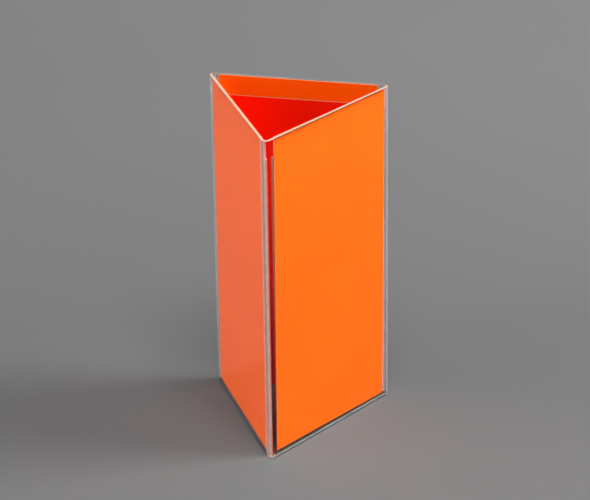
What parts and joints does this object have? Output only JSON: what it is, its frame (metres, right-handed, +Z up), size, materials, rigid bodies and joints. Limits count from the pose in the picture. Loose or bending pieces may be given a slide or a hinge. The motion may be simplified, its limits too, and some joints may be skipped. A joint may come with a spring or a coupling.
{
  "type": "kaleidoscope",
  "caption": "Open three-sided table kaleidoscope: clear folded sleeve around orange cards, with a loose prism of mirror strips that slides lengthwise inside.",
  "frame": {"origin": "on the surface the tube stands on, under the middle of the bounding box", "axes": "+Z up along the tube, the back wall is parallel to X and faces +Y, the front fold points to -Y"},
  "size_m": [0.104, 0.091, 0.1996],
  "materials": {
    "clear_sheet": "clear, polished, pale along cut edges",
    "orange_card": "smooth saturated orange, satin",
    "red_mirror": "red-orange reflective face, pale back and edges",
    "clear_tape": "clear film tape"
  },
  "bodies": {
    "sleeve_with_cards": {"sleeve": "clear_sheet", "card_back": "orange_card", "card_front_left": "orange_card", "card_front_right": "orange_card"},
    "mirror_prism": {"mirror_back": "red_mirror", "mirror_front_left": "red_mirror", "mirror_front_right": "red_mirror", "hinge_tape_front": "clear_tape", "hinge_tape_left": "clear_tape", "hinge_tape_right": "clear_tape"}
  },
  "joints": [
    {"name": "prism_slide", "type": "slide", "parent": "sleeve_with_cards", "child": "mirror_prism", "axis": [0, 0, 1], "range_m": [0, 0.15]}
  ]
}
